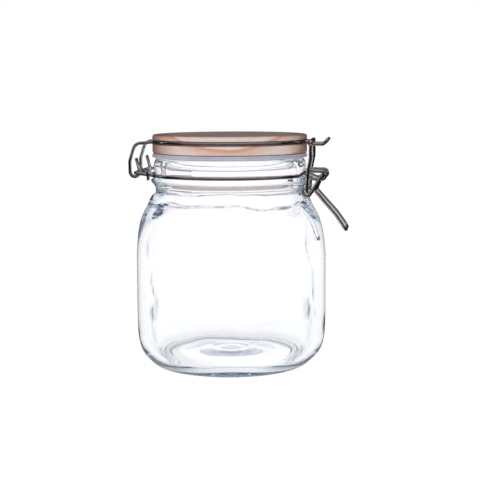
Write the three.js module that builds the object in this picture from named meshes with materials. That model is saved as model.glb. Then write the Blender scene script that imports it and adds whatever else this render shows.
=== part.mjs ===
// A one-litre square storage jar with a wooden lid, a silicone seal and a swing-top wire clamp.
// Millimetres, +Z up. The jar stands on z = 0. The wire clamp is at +X, its hinge at -X.
import * as THREE from "three";

// ---- jar ----
const BODY_HALF_WIDTH = 56.6; // the flat sides, from the jar's axis
const BODY_SQUARENESS = 4.6; // exponent of the body's superellipse, where 2 is round
const WALL = 3.4;
const BASE_THICKNESS = 6;
const PUSH_UP = 2.2; // how far the base rises in the middle
const FOOT_INSET = 12.8; // of the foot's edge, from the flat sides
const FOOT_WIDTH = 3; // the flat ring that the jar stands on
const FOOT_CURVE_HEIGHT = 36; // the sides are straight above this
const RIM_HEIGHT = 127.4;
const NECK_LENGTH = 21.4; // from the rim down
const SHOULDER_LENGTH = 35; // from the neck down to where the sides are straight
const BEAD_DEPTH = 13.5; // below the rim
const GROOVE_DEPTH = 10.2; // of the channel that the neck wire lies in, below the rim
const NECK_RADIUS = 45.4;
const NECK_WALL = 3.9;
const BEAD_PROUD = 2.7; // past the neck
const GROOVE_PROUD = 0.5;
const COLLAR_PROUD = 1.3;
const RIM_INSET = 0.4;

// ---- lid and seal ----
const GAP = 0.3; // between pieces that touch
const SEAL_THICKNESS = 2.5;
const SEAL_OVERHANG = 0.1; // past the lid's edge
const LID_OVERHANG = 0.4; // past the collar
const LID_THICKNESS = 10.9;
const LID_TOP_ROUND = 1.2;
const LID_LOWER_CHAMFER = 0.8;
const PLUG_CLEARANCE = 1.9; // inside the mouth
const LID_GROOVE_ABOVE = 6.7; // the lid wire's channel, above the lid's underside

// ---- wires, in the cage's own frame ----
const WIRE = 1; // radius
const CAGE_TURN = THREE.MathUtils.degToRad(-8.8); // how far the cage sits turned on the neck
const WIRE_CLEARANCE = 0.3; // between wires that turn on each other
const RING_SLACK = 0.6; // between the neck and the wire round it
const LID_RING_INSET = 0.5; // of the lid wire's centreline, from the lid's edge
const HINGE_BEHIND = 7.7; // the back bar, past the neck ring
const HINGE_ABOVE = 1.6;
const HINGE_HALF_WIDTH = 20;
const LID_ARM_Y = 16.5;
const LID_ARM_BULGE = 3.7; // how far the lid wire's arms stand out behind the hinge
const TONGUE_Y = 7.8;
const PIVOT_AHEAD = 9.2; // where the lever turns in the neck wire's eyes, past the neck ring
const EYE_Y = 11.9;
const LINK_RING_BACK = 1.6; // of the link rings' inner side, from the neck ring
const CRANK_DROP = 10.2; // from the pivot down to the link's rings
const BAR_CLEAR = 1.8; // from the lid ring's centreline to the link's bar
const BAR_ABOVE = 0.7;
const HANDLE_PROUD = 14.8; // the handle's tip, past the flat side
const HANDLE_DROP = 32.7; // from the pivot down to the handle's tip
const HANDLE_SPREAD = 2.5; // how much wider the handle is at its tip

// ---- how finely curves are cut ----
const JAR_SIDES = 48;
const LID_SIDES = 64;
const WIRE_SIDES = 8;
const RING_STEP = THREE.MathUtils.degToRad(7.5);
const BEND_STEP = THREE.MathUtils.degToRad(26);

const footRadius = BODY_HALF_WIDTH - FOOT_INSET;
const neckBottom = RIM_HEIGHT - NECK_LENGTH;
const shoulderStart = neckBottom - SHOULDER_LENGTH;
const beadRadius = NECK_RADIUS + BEAD_PROUD;
const beadHeight = RIM_HEIGHT - BEAD_DEPTH;
const grooveRadius = NECK_RADIUS + GROOVE_PROUD;
const grooveHeight = RIM_HEIGHT - GROOVE_DEPTH;
const collarRadius = NECK_RADIUS + COLLAR_PROUD;
const rimRadius = NECK_RADIUS - RIM_INSET;
const mouthRadius = NECK_RADIUS - NECK_WALL;

const rimTop = RIM_HEIGHT + GAP;
const lidUnderside = rimTop + SEAL_THICKNESS + GAP;
const lidTop = lidUnderside + LID_THICKNESS;
const lidRingZ = lidUnderside + LID_GROOVE_ABOVE;
const lidRadius = collarRadius + LID_OVERHANG;
const plugRadius = mouthRadius - PLUG_CLEARANCE;

const neckRingRadius = grooveRadius + WIRE + RING_SLACK;
const lidRingRadius = lidRadius - LID_RING_INSET;
const hinge = { x: -(neckRingRadius + HINGE_BEHIND), z: grooveHeight + HINGE_ABOVE };
const pivot = { x: neckRingRadius + PIVOT_AHEAD, z: grooveHeight };
const eyeRadius = 2 * WIRE + WIRE_CLEARANCE + 0.1;
const linkRing = { x: neckRingRadius - LINK_RING_BACK + 2 * WIRE, z: pivot.z - CRANK_DROP };
const linkRingRadius = eyeRadius;
const crankY = EYE_Y + 2 * WIRE + WIRE_CLEARANCE;
const linkY = crankY + 2 * WIRE + WIRE_CLEARANCE;
const handleY = EYE_Y - 2 * WIRE - WIRE_CLEARANCE - 0.1;
const handleEndY = handleY + HANDLE_SPREAD;
const linkBar = { x: lidRingRadius + BAR_CLEAR + 2 * WIRE, z: lidRingZ + BAR_ABOVE };
const leverTip = { x: BODY_HALF_WIDTH + HANDLE_PROUD, z: pivot.z - HANDLE_DROP };

// The object's front and back reach decide where the jar's axis lies, so that the origin is
// under the middle of the whole object.
const frontReach = leverTip.x * Math.cos(CAGE_TURN) - handleEndY * Math.sin(CAGE_TURN) + WIRE / 2;
const backReach = (LID_ARM_BULGE - hinge.x) * Math.cos(CAGE_TURN) - LID_ARM_Y * Math.sin(CAGE_TURN) + WIRE;
const AXIS_X = (backReach - frontReach) / 2;

const glass = new THREE.MeshStandardMaterial({
  color: 0xe4eef0,
  roughness: 0.05,
  metalness: 0,
  transparent: true,
  opacity: 0.35,
});
const pine = new THREE.MeshStandardMaterial({ color: 0xd9b99c, roughness: 0.6, metalness: 0 });
const silicone = new THREE.MeshStandardMaterial({ color: 0xaba9b4, roughness: 0.45, metalness: 0 });
const steel = new THREE.MeshStandardMaterial({ color: 0xc9c9cc, roughness: 0.15, metalness: 1 });

// ---- turned shapes ----

// A profile of [radius, height] pairs turned about the vertical axis.
function turned(profile, sides) {
  const points = profile.map(([r, z]) => new THREE.Vector2(r, z));
  return new THREE.LatheGeometry(points, sides).rotateX(Math.PI / 2);
}

// Points on an arc in a profile, its ends included.
function arc(r, z, radius, fromDegrees, toDegrees, steps) {
  return Array.from({ length: steps + 1 }, (_, i) => {
    const a = THREE.MathUtils.degToRad(fromDegrees + ((toDegrees - fromDegrees) * i) / steps);
    return [r + radius * Math.cos(a), z + radius * Math.sin(a)];
  });
}

// A smooth curve through a few profile points.
function smooth(points, steps) {
  const curve = new THREE.SplineCurve(points.map(([r, z]) => new THREE.Vector2(r, z)));
  return curve.getPoints(steps).map((p) => [p.x, p.y]);
}

// 2 is a circle. The body turns square above the foot and round again through the shoulder.
function squareness(z) {
  const above = THREE.MathUtils.smoothstep(z, 0, 0.7 * FOOT_CURVE_HEIGHT);
  const below = 1 - THREE.MathUtils.smoothstep(z, shoulderStart, neckBottom - 1.5);
  return 2 + (BODY_SQUARENESS - 2) * above * below;
}

// Pushes each point of a turned shape out to the superellipse of its height.
function squared(geometry) {
  const position = geometry.attributes.position;
  for (let i = 0; i < position.count; i++) {
    const x = position.getX(i);
    const y = position.getY(i);
    const n = squareness(position.getZ(i));
    const radius = Math.hypot(x, y);
    if (radius === 0) continue;
    const stretch = (Math.abs(x / radius) ** n + Math.abs(y / radius) ** n) ** (-1 / n);
    position.setX(i, x * stretch);
    position.setY(i, y * stretch);
  }
  return geometry;
}

function glassJar() {
  const half = BODY_HALF_WIDTH;
  const foot = footRadius;
  const outside = [
    [0, PUSH_UP],
    [0.5 * foot, 0.85 * PUSH_UP],
    [foot - FOOT_WIDTH - 1.6, 0.5],
    [foot - FOOT_WIDTH, 0],
    [foot, 0],
    [foot + 1.6, 0.4],
    [foot + 2.5, 1.3],
    ...smooth(
      [
        [foot + 3.6, 1.1],
        [half - 6.9, 3.7],
        [half - 2.7, 11.2],
        [half - 0.6, 21.3],
        [half, FOOT_CURVE_HEIGHT],
      ],
      7,
    ),
    ...smooth(
      [
        [half, shoulderStart],
        [half - 0.9, neckBottom - 22.3],
        [half - 2.4, neckBottom - 14.9],
        [half - 6, neckBottom - 7.5],
        [NECK_RADIUS + 2.9, neckBottom - 2.5],
        [NECK_RADIUS, neckBottom],
      ],
      9,
    ),
    [NECK_RADIUS, neckBottom + 3.6],
    [NECK_RADIUS + 1.4, neckBottom + 5.8],
    [beadRadius, beadHeight - 1],
    [beadRadius, beadHeight + 0.4],
    [grooveRadius + 0.2, grooveHeight - 1.4],
    [grooveRadius, grooveHeight],
    [grooveRadius + 0.1, grooveHeight + 1.5],
    [collarRadius, RIM_HEIGHT - 5.5],
    [collarRadius - 0.5, RIM_HEIGHT - 2.6],
    [rimRadius, RIM_HEIGHT - 0.4],
    [rimRadius - 1, RIM_HEIGHT],
  ];
  const inside = [
    [mouthRadius + 0.9, RIM_HEIGHT],
    [mouthRadius, RIM_HEIGHT - 1.2],
    [mouthRadius, neckBottom + 1],
    ...smooth(
      [
        [NECK_RADIUS + 2.9 - NECK_WALL, neckBottom - 4],
        [half - 6 - WALL, neckBottom - 9.6],
        [half - 2.6 - WALL, neckBottom - 17.4],
        [half - WALL, shoulderStart],
      ],
      5,
    ),
    ...smooth(
      [
        [half - WALL, FOOT_CURVE_HEIGHT],
        [half - 2.4 - WALL, BASE_THICKNESS + 12],
        [half - 9 - WALL, BASE_THICKNESS + 2],
        [half - 16 - WALL, BASE_THICKNESS],
      ],
      5,
    ),
    [0, BASE_THICKNESS + PUSH_UP],
  ];
  return squared(turned([...outside, ...inside], JAR_SIDES));
}

function lidSeal() {
  const inner = plugRadius + GAP;
  const outer = lidRadius + SEAL_OVERHANG;
  const top = rimTop + SEAL_THICKNESS;
  const profile = [
    [inner, rimTop],
    [rimRadius + 1.2, rimTop],
    [outer + 0.2, rimTop + 0.5],
    [outer + 0.2, rimTop + 1.2],
    [outer - 0.3, rimTop + 1.8],
    [outer - 0.3, top - 0.3],
    [outer - 0.6, top],
    [inner, top],
    [inner, rimTop],
  ];
  return turned(profile, LID_SIDES);
}

function woodenLid() {
  const plugBottom = lidUnderside - SEAL_THICKNESS - 1.4;
  const channel = WIRE + GAP;
  const lip = THREE.MathUtils.radToDeg(Math.acos(LID_RING_INSET / channel));
  const profile = [
    [0, plugBottom],
    [plugRadius - 0.5, plugBottom],
    [plugRadius, plugBottom + 0.5],
    [plugRadius, lidUnderside],
    [lidRadius - LID_LOWER_CHAMFER, lidUnderside],
    [lidRadius, lidUnderside + 1.2 * LID_LOWER_CHAMFER],
    ...arc(lidRingRadius, lidRingZ, channel, -lip, lip - 360, 6),
    ...arc(lidRadius - LID_TOP_ROUND, lidTop - LID_TOP_ROUND, LID_TOP_ROUND, 0, 90, 3),
    [0, lidTop],
  ];
  return turned(profile, LID_SIDES);
}

// ---- bent wires ----

// A wire's centreline as a chain of stations, close together in the bends only.
class WirePath extends THREE.Curve {
  constructor(stations) {
    super();
    this.stations = stations;
  }

  getPoint(t) {
    return this.stations[Math.round(t * (this.stations.length - 1))].clone();
  }

  getPointAt(u) {
    return this.getPoint(u);
  }

  getTangentAt(u) {
    const last = this.stations.length - 1;
    const i = Math.round(u * last);
    const here = this.stations[i];
    const into = here.clone().sub(this.stations[Math.max(i - 1, 0)]).normalize();
    const out = this.stations[Math.min(i + 1, last)].clone().sub(here).normalize();
    return into.add(out).normalize();
  }
}

// A corner of a wire: a place, and the radius it is bent to there.
function corner(x, y, z, bend = 0) {
  return { at: new THREE.Vector3(x, y, z), bend };
}

// Replaces each corner by an arc that touches both of its legs.
function bentStations(corners) {
  const stations = [];
  corners.forEach(({ at, bend }, i) => {
    if (!bend || i === 0 || i === corners.length - 1) {
      stations.push(at);
      return;
    }
    const back = corners[i - 1].at.clone().sub(at).normalize();
    const ahead = corners[i + 1].at.clone().sub(at).normalize();
    const turn = Math.PI - back.angleTo(ahead);
    const middle = back.clone().add(ahead).normalize();
    const centre = at.clone().addScaledVector(middle, bend / Math.cos(turn / 2));
    const first = at.clone().addScaledVector(back, bend * Math.tan(turn / 2)).sub(centre);
    const axis = back.cross(first).normalize();
    const steps = Math.max(1, Math.ceil(turn / BEND_STEP));
    for (let k = 0; k <= steps; k++) {
      stations.push(first.clone().applyAxisAngle(axis, (turn * k) / steps).add(centre));
    }
  });
  return stations;
}

// Corners along a level ring, from one angle to another, in even steps.
function ringCorners(radius, z, fromDegrees, toDegrees) {
  const from = THREE.MathUtils.degToRad(fromDegrees);
  const sweep = THREE.MathUtils.degToRad(toDegrees) - from;
  const steps = Math.ceil(Math.abs(sweep) / RING_STEP);
  return Array.from({ length: steps + 1 }, (_, i) => {
    const a = from + (sweep * i) / steps;
    return corner(radius * Math.cos(a), radius * Math.sin(a), z);
  });
}

// Corners around a centre in an upright plane at y, from one angle to another.
function hookCorners(centre, radius, y, fromDegrees, toDegrees, steps) {
  return arc(centre.x, centre.z, radius, fromDegrees, toDegrees, steps).map(([x, z]) => corner(x, y, z));
}

function mirrored(corners) {
  return corners.map(({ at, bend }) => corner(at.x, -at.y, at.z, bend)).reverse();
}

function wire(corners) {
  const stations = bentStations(corners);
  const section = new THREE.Shape(
    Array.from({ length: WIRE_SIDES }, (_, i) => {
      const a = (2 * Math.PI * i) / WIRE_SIDES;
      return new THREE.Vector2(WIRE * Math.cos(a), WIRE * Math.sin(a));
    }),
  );
  return new THREE.ExtrudeGeometry(section, {
    steps: stations.length - 1,
    extrudePath: new WirePath(stations),
  });
}

// One wire round the neck. It starts in the hook that closes the ring over the near back arm,
// goes round the back and the far side, forms the two eyes of the lever, comes back along the
// near side and ends as the back tongue, whose tip lies along the top of the ring.
function neckWire() {
  const r = neckRingRadius;
  const z = grooveHeight;
  const armZ = z + eyeRadius;
  const lift = 2 * WIRE + 0.45;
  const over = 2 * lift - 0.5;
  const clasp = [
    corner(1.2 - r, -HINGE_HALF_WIDTH - lift, z - 2.4),
    corner(0.8 - r, -HINGE_HALF_WIDTH - lift, z + over, 2.1 * WIRE),
    corner(0.9 - r, -HINGE_HALF_WIDTH + 2.4, z + over, 2.1 * WIRE),
    corner(0.5 - r, -HINGE_HALF_WIDTH + 7.6, z, 3),
  ];
  const farEye = [
    corner(r - 0.5, EYE_Y, armZ, 2.2),
    ...hookCorners(pivot, eyeRadius, EYE_Y, 90, -90, 6),
    corner(pivot.x - 4.3, EYE_Y, z - eyeRadius, 4),
    corner(r - 0.6, EYE_Y - 0.4, z, 1.8),
  ];
  const backTongue = [
    corner(4.2 - r, -HINGE_HALF_WIDTH, z, 2.5),
    corner(hinge.x, -HINGE_HALF_WIDTH, hinge.z, 2.2),
    corner(hinge.x, HINGE_HALF_WIDTH, hinge.z, 2.2),
    corner(2.3 - r, HINGE_HALF_WIDTH, z + lift + 0.2, 2.5),
  ];
  return wire([
    ...clasp,
    ...ringCorners(r, z, 189, 23),
    ...farEye,
    ...ringCorners(r, z, 9, -9),
    ...mirrored(farEye),
    ...ringCorners(r, z, -23, -147),
    ...backTongue,
    ...ringCorners(r + 0.5, z + lift, 147, 132),
  ]);
}

// One wire round the lid, from one hinge hook round to the other by way of the front tongue.
function lidWire() {
  const hook = { x: hinge.x - 0.45, z: hinge.z + 0.5 };
  const hookRadius = 2 * WIRE + 1;
  const y = -LID_ARM_Y;
  const r = lidRingRadius;
  const tongueZ = linkBar.z - 2 * WIRE - GAP;
  const half = [
    corner(hinge.x + 0.4, y, hinge.z + 8.5),
    ...hookCorners(hook, hookRadius, y, 0, -180, 6),
    corner(hinge.x - 3.6, y, hinge.z + 7, 6),
    corner(hinge.x - 0.2, y, lidRingZ - 0.9, 5),
    corner(-0.9 - r, y, lidRingZ - 0.3, 6),
    corner(2.7 - r, y, lidRingZ, 2.4),
    ...ringCorners(r, lidRingZ, 208, 343),
    corner(r - 0.4, -TONGUE_Y, lidRingZ, 1.2 * WIRE),
    corner(r + 1.4, -TONGUE_Y, lidRingZ, WIRE),
    corner(r + 2.7, -TONGUE_Y, tongueZ, WIRE),
    corner(r + 11, -TONGUE_Y, tongueZ, 2.4 * WIRE),
    corner(r + 13.5, -TONGUE_Y, tongueZ + 2.9, 1.6 * WIRE),
  ];
  return wire([...half, ...mirrored(half)]);
}

// One wire: two rings for the link, two cranks up to the pivot, and the handle between them.
function clampLever() {
  const towardPivot = THREE.MathUtils.radToDeg(Math.atan2(pivot.z - linkRing.z, pivot.x - linkRing.x));
  const reach = Math.hypot(pivot.x - linkRing.x, pivot.z - linkRing.z);
  const tangent = towardPivot - THREE.MathUtils.radToDeg(Math.acos(linkRingRadius / reach));
  const half = [
    ...hookCorners(linkRing, linkRingRadius, -crankY, tangent - 270, tangent, 10),
    corner(pivot.x, -crankY, pivot.z, 1.2 * WIRE),
    corner(pivot.x, -handleY, pivot.z, 1.2 * WIRE),
    corner(pivot.x - 4.2, -handleY, pivot.z - 9.4, 2.6),
    corner(BODY_HALF_WIDTH + 8.7, -handleY - 0.56 * HANDLE_SPREAD, pivot.z - 23.9, 12),
    corner(leverTip.x, -handleEndY, leverTip.z, 3),
  ];
  return wire([...half, ...mirrored(half)]);
}

// One wire: a loop whose bar lies over the lid's tongue and whose ends hook into the rings.
function clampLink() {
  const half = [
    corner(linkRing.x, -crankY + 1.8, linkRing.z),
    corner(linkRing.x, -linkY, linkRing.z, 1.3 * WIRE),
    corner(linkRing.x + 1.1, -linkY, grooveHeight + 4, 8),
    corner(linkBar.x, -linkY, grooveHeight + 10.5, 8),
    corner(linkBar.x, -linkY, linkBar.z, 2.6),
  ];
  return wire([...half, ...mirrored(half)]);
}

function piece(name, geometry, material) {
  const mesh = new THREE.Mesh(geometry, material);
  mesh.name = name;
  return mesh;
}

const cage = new THREE.Group();
cage.rotation.z = CAGE_TURN;
cage.add(
  piece("neck_wire", neckWire(), steel),
  piece("lid_wire", lidWire(), steel),
  piece("clamp_lever", clampLever(), steel),
  piece("clamp_link", clampLink(), steel),
);

const jar = new THREE.Group();
jar.position.x = AXIS_X;
jar.add(
  piece("glass_jar", glassJar(), glass),
  piece("lid_seal", lidSeal(), silicone),
  piece("wooden_lid", woodenLid(), pine),
  cage,
);

export default jar;
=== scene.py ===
"""A square glass storage jar with a wooden lid, a silicone seal and a swing-top wire clamp.

Lengths in the shape functions are millimetres; meshes are stored in metres, in the frame of the
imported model. The jar stands on z = 0, its hinge at -X and its clamp at +X.
"""

import math

import bpy
import numpy as np
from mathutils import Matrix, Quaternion, Vector


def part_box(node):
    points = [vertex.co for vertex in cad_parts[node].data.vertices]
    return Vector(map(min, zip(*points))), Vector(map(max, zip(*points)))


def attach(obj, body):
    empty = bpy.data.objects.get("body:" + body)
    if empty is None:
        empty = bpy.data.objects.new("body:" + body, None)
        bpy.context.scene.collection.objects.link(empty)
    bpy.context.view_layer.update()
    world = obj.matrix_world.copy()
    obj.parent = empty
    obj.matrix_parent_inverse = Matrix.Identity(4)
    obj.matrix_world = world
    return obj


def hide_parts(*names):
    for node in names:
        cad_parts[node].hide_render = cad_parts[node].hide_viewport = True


bl_info = {
    "name": "Swing-top storage jar",
    "version": (1, 0, 0),
    "blender": (4, 5, 0),
    "location": "View3D > Sidebar > Jar",
    "description": "Builds a square glass storage jar with a wooden lid and a wire clamp",
    "category": "Add Mesh",
}

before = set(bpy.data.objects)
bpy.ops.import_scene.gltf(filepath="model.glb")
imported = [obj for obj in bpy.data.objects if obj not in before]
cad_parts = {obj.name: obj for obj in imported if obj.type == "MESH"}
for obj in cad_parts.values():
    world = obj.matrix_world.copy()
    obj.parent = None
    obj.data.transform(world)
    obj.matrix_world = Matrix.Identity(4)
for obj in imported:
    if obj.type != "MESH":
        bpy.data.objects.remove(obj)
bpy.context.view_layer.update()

MM = 0.001

jar_low, jar_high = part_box("glass_jar")
lid_low, lid_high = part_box("wooden_lid")
seal_low, seal_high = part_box("lid_seal")

AXIS_X = (jar_low.x + jar_high.x) / 2  # the jar's own axis
CAGE_TURN = math.radians(-8.8)  # how far the wires sit turned on the neck


# ---------------------------------------------------------------- sizes and colours

LENGTH = {"subtype": "DISTANCE", "unit": "LENGTH"}
COLOUR = {"size": 3, "subtype": "COLOR", "min": 0.0, "max": 1.0}


class JarSizes(bpy.types.PropertyGroup):
    half_width: bpy.props.FloatProperty(
        name="Half width",
        description="From the jar's axis to a flat side",
        default=(jar_high.x - jar_low.x) / 2,
        **LENGTH,
    )
    squareness: bpy.props.FloatProperty(
        name="Squareness",
        description="Exponent of the body's section, where 2 is round",
        default=4.6,
        min=2.0,
    )
    rim_height: bpy.props.FloatProperty(
        name="Rim height", description="From the foot to the rim", default=jar_high.z, **LENGTH
    )
    wall: bpy.props.FloatProperty(
        name="Wall", description="Thickness of the sides", default=0.0034, **LENGTH
    )
    base_thickness: bpy.props.FloatProperty(
        name="Base thickness",
        description="Thickness of the glass near the edge of the base",
        default=0.0052,
        **LENGTH,
    )
    ripple: bpy.props.FloatProperty(
        name="Ripple",
        description="How uneven the inside of the blown glass is",
        default=0.0001,
        **LENGTH,
    )
    knurls: bpy.props.IntProperty(
        name="Knurls",
        description="Number of small bumps round the bearing ring of the foot",
        default=96,
        min=0,
    )


class LidSizes(bpy.types.PropertyGroup):
    radius: bpy.props.FloatProperty(
        name="Lid radius",
        description="Radius of the wooden disc",
        default=(lid_high.x - lid_low.x) / 2,
        **LENGTH,
    )
    plug_radius: bpy.props.FloatProperty(
        name="Plug radius",
        description="Radius of the step that goes into the neck",
        default=0.0396,
        **LENGTH,
    )
    top_round: bpy.props.FloatProperty(
        name="Top rounding", description="Rounding of the upper edge", default=0.0012, **LENGTH
    )


class WireSizes(bpy.types.PropertyGroup):
    radius: bpy.props.FloatProperty(
        name="Wire radius", description="Radius of the steel wire", default=0.001, **LENGTH
    )
    sides: bpy.props.IntProperty(
        name="Sides", description="Faces round a wire", default=20, min=8
    )


class Finishes(bpy.types.PropertyGroup):
    glass_tint: bpy.props.FloatVectorProperty(
        name="Glass tint",
        description="Colour that the glass takes where it is thick",
        default=(0.50, 0.64, 0.74),
        **COLOUR,
    )
    early_wood: bpy.props.FloatVectorProperty(
        name="Early wood",
        description="Colour of the pale part of a growth ring",
        default=(0.80, 0.67, 0.615),
        **COLOUR,
    )
    late_wood: bpy.props.FloatVectorProperty(
        name="Late wood",
        description="Colour of the dark line of a growth ring",
        default=(0.60, 0.29, 0.16),
        **COLOUR,
    )
    silicone: bpy.props.FloatVectorProperty(
        name="Silicone", description="Colour of the seal", default=(0.50, 0.49, 0.58), **COLOUR
    )
    steel: bpy.props.FloatVectorProperty(
        name="Steel", description="Colour of the bright wire", default=(0.47, 0.45, 0.45), **COLOUR
    )


class Studio(bpy.types.PropertyGroup):
    light: bpy.props.FloatProperty(
        name="Light", description="Strength of the soft lights", default=1.0, min=0.0
    )
    camera_back: bpy.props.FloatProperty(
        name="Camera distance",
        description="From the camera to the jar's axis, over the floor",
        default=0.7853,
        **LENGTH,
    )
    camera_side: bpy.props.FloatProperty(
        name="Camera offset",
        description="From the jar's axis to the camera, sideways",
        default=-0.0178,
        **LENGTH,
    )
    camera_height: bpy.props.FloatProperty(
        name="Camera height",
        description="Height of the camera over the floor",
        default=0.1706,
        **LENGTH,
    )
    lens: bpy.props.FloatProperty(
        name="Lens", description="Focal length on a 36 mm sensor", default=96.36, unit="CAMERA"
    )


# ---------------------------------------------------------------- curves and surfaces


def smooth_curve(points, per_leg):
    """A smooth curve through the points.

    Each leg is the cubic that starts and ends on its two points with, at each of them, half the
    step between that point's neighbours as its slope.
    """
    p = np.asarray(points, float)
    padded = np.vstack([p[:1], p, p[-1:]])
    before, start, end, after = padded[:-3], padded[1:-2], padded[2:-1], padded[3:]
    before, start, end, after = (q[:, None, :] for q in (before, start, end, after))
    t = (np.arange(per_leg) / per_leg)[None, :, None]
    legs = (
        (2 * t**3 - 3 * t**2 + 1) * start
        + (t**3 - 2 * t**2 + t) * (end - before) / 2
        + (3 * t**2 - 2 * t**3) * end
        + (t**3 - t**2) * (after - start) / 2
    )
    return np.vstack([legs.reshape(-1, p.shape[1]), p[-1:]])


def soften(points, rounds):
    """Corners cut off a chain of points: each leg keeps its points at a quarter and three
    quarters, and the two ends of the chain stay."""
    p = np.asarray(points, float)
    for _ in range(rounds):
        near, far = 0.75 * p[:-1] + 0.25 * p[1:], 0.25 * p[:-1] + 0.75 * p[1:]
        cut = np.stack([near, far], axis=1).reshape(-1, p.shape[1])
        p = np.vstack([p[:1], cut, p[-1:]])
    return p


def arc(centre_r, centre_z, radius, start, end, steps):
    """Points (r, z) on an arc: centre + radius (cos a, sin a), with a from start to end in
    degrees."""
    a = np.radians(np.linspace(start, end, steps + 1))
    return np.column_stack([centre_r + radius * np.cos(a), centre_z + radius * np.sin(a)])


def smoothstep(x, low, high):
    """0 below low, 1 above high, and 3t^2 - 2t^3 between them."""
    t = np.clip((x - low) / (high - low), 0, 1)
    return t * t * (3 - 2 * t)


def closed_surface(name, rows, along, first_pole=None, last_pole=None):
    """A mesh over a grid of points (row, column, xyz), in metres.

    The columns close on themselves. The rows end in a fan round each pole, or, with no poles,
    close on themselves too. The face between row i and i+1 and column j and j+1 has the corners
    (i, j), (i, j+1), (i+1, j+1), (i+1, j). Its UV is the column's share of the way round and the
    row's length along.
    """
    count, sides = rows.shape[:2]
    vertices = rows.reshape(-1, 3)
    i, j = np.meshgrid(np.arange(count), np.arange(sides), indexing="ij")
    right = (j + 1) % sides
    up = (i + 1) % count
    quads = np.stack([i * sides + j, i * sides + right, up * sides + right, up * sides + j], -1)
    around, along = j / sides, np.append(along, along[-1] + (along[-1] - along[-2]))
    one = 1 / sides
    u = np.stack([around, around + one, around + one, around], -1)
    v = np.stack([along[i], along[i], along[i + 1], along[i + 1]], -1)
    fans, fan_u, fan_v = [], [], []
    if first_pole is not None:
        quads, u, v = quads[:-1], u[:-1], v[:-1]
        j = np.arange(sides)
        ring = np.stack([j, (j + 1) % sides])
        for pole, base, order, height in (
            (first_pole, 0, (1, 0), along[0]),
            (last_pole, (count - 1) * sides, (0, 1), along[count - 1]),
        ):
            tip = np.full(sides, len(vertices))
            vertices = np.vstack([vertices, pole])
            fans.append(np.stack([tip, base + ring[order[0]], base + ring[order[1]]], -1))
            edge = np.stack([j, j + 1]) / sides
            fan_u.append(np.stack([(j + 0.5) / sides, edge[order[0]], edge[order[1]]], -1))
            fan_v.append(np.full((sides, 3), height))
    corners = np.concatenate([quads.ravel(), *[f.ravel() for f in fans]])
    uv = np.column_stack(
        [
            np.concatenate([u.ravel(), *[f.ravel() for f in fan_u]]),
            np.concatenate([v.ravel(), *[f.ravel() for f in fan_v]]),
        ]
    )
    squares, triangles = quads.size // 4, sum(len(f) for f in fans)
    starts = np.concatenate([4 * np.arange(squares), 4 * squares + 3 * np.arange(triangles)])
    mesh = bpy.data.meshes.new(name)
    mesh.vertices.add(len(vertices))
    mesh.vertices.foreach_set("co", np.ascontiguousarray(vertices, np.float32).ravel())
    mesh.loops.add(len(corners))
    mesh.loops.foreach_set("vertex_index", corners.astype(np.int32))
    mesh.polygons.add(len(starts))
    mesh.polygons.foreach_set("loop_start", starts.astype(np.int32))
    mesh.polygons.foreach_set("use_smooth", np.ones(len(starts), bool))
    mesh.uv_layers.new(name="UVMap").data.foreach_set("uv", uv.astype(np.float32).ravel())
    mesh.update(calc_edges=True)
    if mesh.validate():
        raise RuntimeError(f"{name} has faces that can't be drawn")
    piece = bpy.data.objects.new(name, mesh)
    bpy.context.scene.collection.objects.link(piece)
    return piece


def length_along(points):
    """The length of the chain of points up to each of them."""
    steps = np.linalg.norm(np.diff(points, axis=0), axis=1)
    return np.concatenate([[0], np.cumsum(steps)])


def turned_rows(profile, sides):
    """A profile of (r, z) turned about the jar's axis: (r cos a, r sin a, z) for each angle a."""
    a = np.linspace(0, 2 * np.pi, sides, endpoint=False)
    r, z = profile[:, :1], profile[:, 1:]
    return np.stack([r * np.cos(a), r * np.sin(a), z + 0 * a], -1)


def on_axis(points):
    """Points about the jar's axis, in millimetres, moved to its place in the frame, in metres."""
    return np.asarray(points, float) * MM + np.array([AXIS_X, 0, 0])


# ---------------------------------------------------------------- glass jar

NECK_BOTTOM = 106.0
NECK_RADIUS = 45.4
MOUTH_RADIUS = 41.5
BEAD = (48.1, 113.9)
GROOVE = (45.9, 117.2)  # where the neck wire lies
COLLAR_RADIUS = 46.7
RIM_RADIUS = 45.0
FOOT_RADIUS = 43.8
FOOT_WIDTH = 3.0
FOOT_CURVE_HEIGHT = 36.0
SHOULDER_START = 71.0
PUSH_UP = 4.4  # of the middle of the base
DOME_RADIUS = 29.0  # of the pushed-up part of the base
KNURL_DEPTH = 0.5
RIDGE_DEPTHS = 8.0  # of the ridge under the neck, in ripple depths
JAR_SIDES = 384
TURNED_SIDES = 192  # of the lid and the seal


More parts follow.
